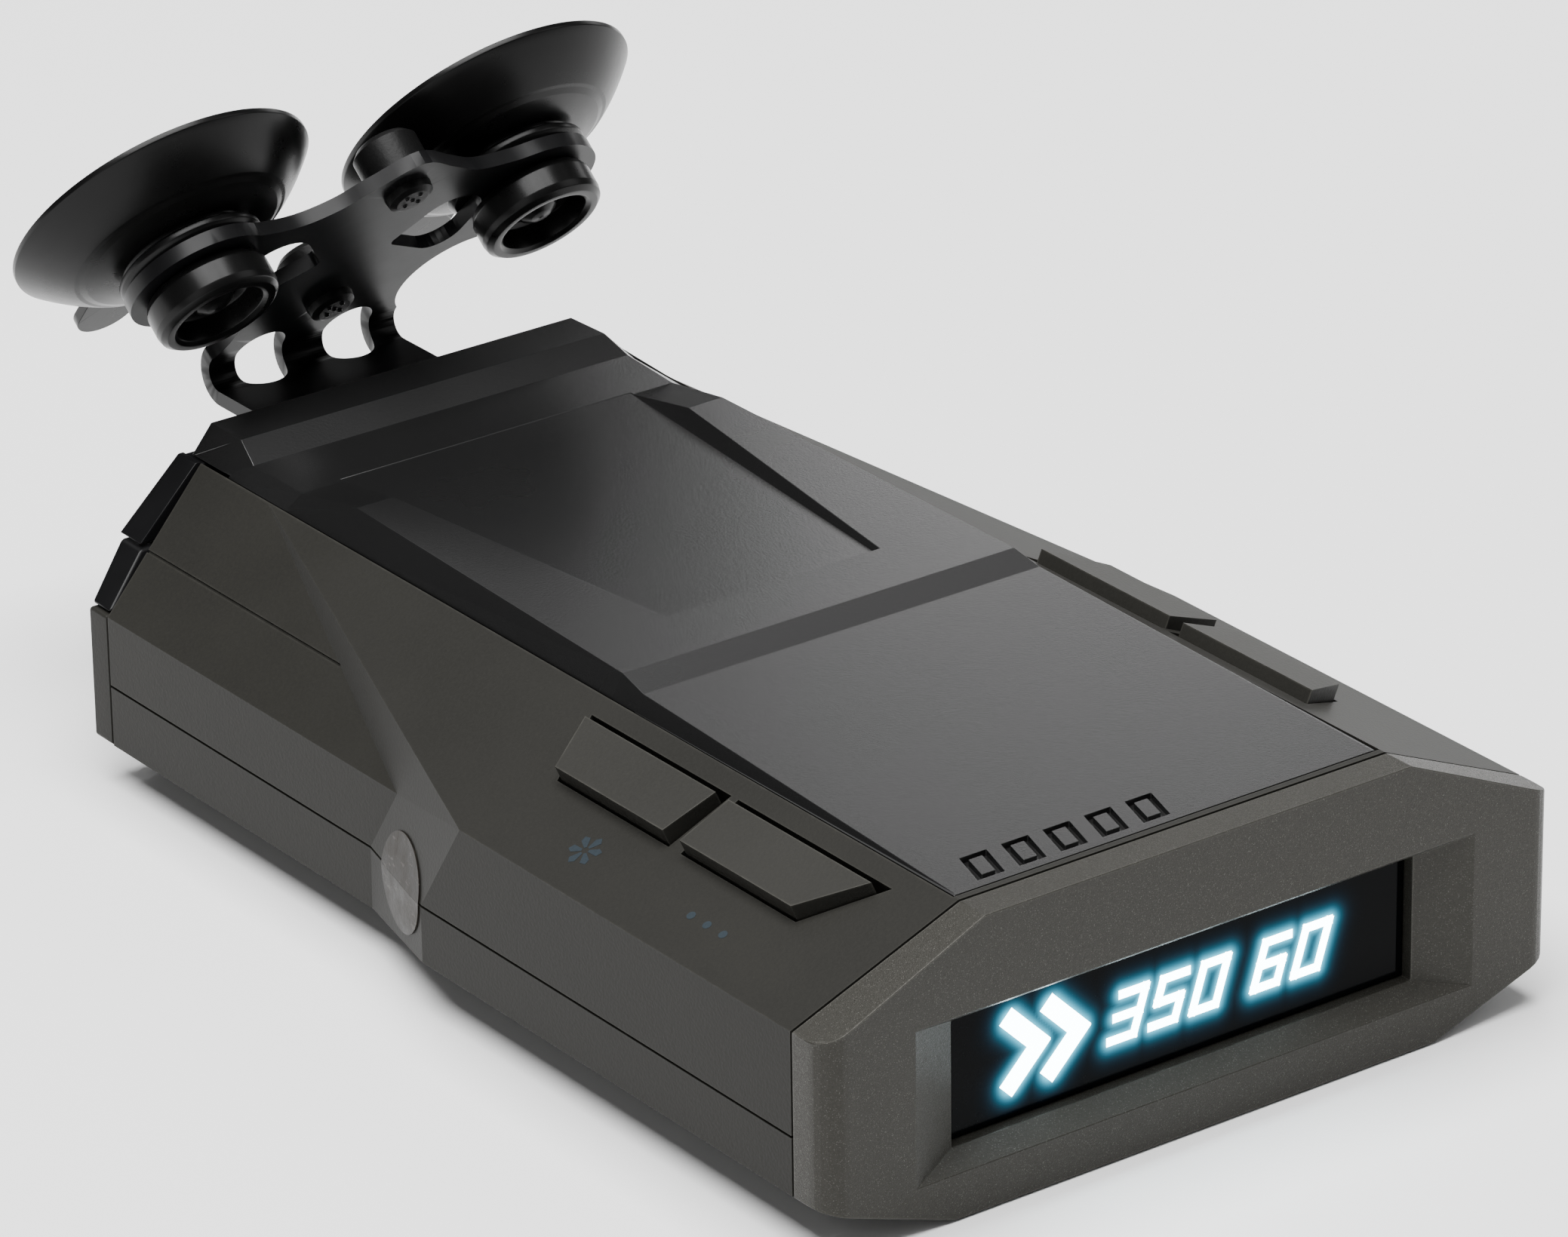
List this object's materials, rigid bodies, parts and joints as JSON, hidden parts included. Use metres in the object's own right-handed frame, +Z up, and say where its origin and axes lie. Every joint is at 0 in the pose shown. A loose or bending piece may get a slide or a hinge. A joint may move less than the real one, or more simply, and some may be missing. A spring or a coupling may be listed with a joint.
{
  "type": "radar detector",
  "caption": "Dashboard radar detector with a faceted charcoal case, lit display bezel, side keys and a black bracket with two suction cups.",
  "frame": {"origin": "middle of the flat underside of the case", "axes": "+Z up out of the top cover, -Y out of the display, +X to the right of someone facing the display"},
  "size_m": [0.0771, 0.1404, 0.0584],
  "materials": {
    "shell": "soft-touch charcoal",
    "bezel": "metallic taupe paint with fine sparkle",
    "glass": "smoked gloss window",
    "cover": "satin dark grey",
    "gloss": "polished black",
    "keys": "soft-touch charcoal",
    "seal": "silvery foil film",
    "steel": "plated",
    "black_plastic": "moulded",
    "board": "solder mask",
    "display": "lit panel",
    "flex": "polyimide film",
    "antenna": "die cast",
    "lens": "dark red filter",
    "ceramic": "fired ceramic",
    "mesh": "woven cloth",
    "capacitor": "sleeved can",
    "rubber": "matt",
    "cup": "soft glossy vinyl"
  },
  "bodies": {
    "housing": {"lower_shell": "shell", "upper_shell": "shell", "front_bezel": "bezel", "display_window": "glass", "display_module": "display", "display_flex": "flex", "top_cover": "cover", "rear_cover": "shell", "rear_lens": "gloss", "rear_cap": "gloss", "seal_sticker": "seal", "case_screws": "steel", "left_switch_board": "board", "right_switch_board": "board", "tact_switches": "black_plastic", "main_board": "board", "board_chips": "black_plastic", "horn_antenna": "antenna", "mixer_shield": "steel", "laser_sensor": "black_plastic", "laser_lens": "lens", "gps_antenna": "ceramic", "speaker": "black_plastic", "speaker_mesh": "mesh", "backup_capacitor": "capacitor", "dc_jack": "black_plastic", "usb_port": "steel", "bracket_guide": "black_plastic", "bracket_clip": "steel"},
    "left_rear_key": {"left_rear_button": "keys", "left_rear_plunger": "black_plastic"},
    "left_front_key": {"left_front_button": "keys", "left_front_plunger": "black_plastic"},
    "right_rear_key": {"right_rear_button": "keys", "right_rear_plunger": "black_plastic"},
    "right_front_key": {"right_front_button": "keys", "right_front_plunger": "black_plastic"},
    "bracket": {"bracket_plate": "gloss", "upper_bumper": "rubber", "lower_bumper": "rubber"},
    "left_cup": {"left_suction_cup": "cup"},
    "right_cup": {"right_suction_cup": "cup"}
  },
  "joints": [
    {"name": "left_rear_press", "type": "slide", "parent": "housing", "child": "left_rear_key", "axis": [0.4129, 0, -0.9108], "range_m": [0, 0.0006], "stiffness_N_per_m": 600},
    {"name": "left_front_press", "type": "slide", "parent": "housing", "child": "left_front_key", "axis": [0.4129, 0, -0.9108], "range_m": [0, 0.0006], "stiffness_N_per_m": 600},
    {"name": "right_rear_press", "type": "slide", "parent": "housing", "child": "right_rear_key", "axis": [-0.4129, 0, -0.9108], "range_m": [0, 0.0006], "stiffness_N_per_m": 600},
    {"name": "right_front_press", "type": "slide", "parent": "housing", "child": "right_front_key", "axis": [-0.4129, 0, -0.9108], "range_m": [0, 0.0006], "stiffness_N_per_m": 600},
    {"name": "bracket_slide", "type": "slide", "parent": "housing", "child": "bracket", "axis": [0, 1, 0], "range_m": [0, 0.0155]},
    {"name": "left_cup_turn", "type": "hinge", "parent": "bracket", "child": "left_cup", "pos_m": [-0.0178, 0.06463, 0.04199], "axis": [0, 0.7716, 0.6361], "continuous": true},
    {"name": "right_cup_turn", "type": "hinge", "parent": "bracket", "child": "right_cup", "pos_m": [0.0178, 0.06463, 0.04199], "axis": [0, 0.7716, 0.6361], "continuous": true}
  ]
}
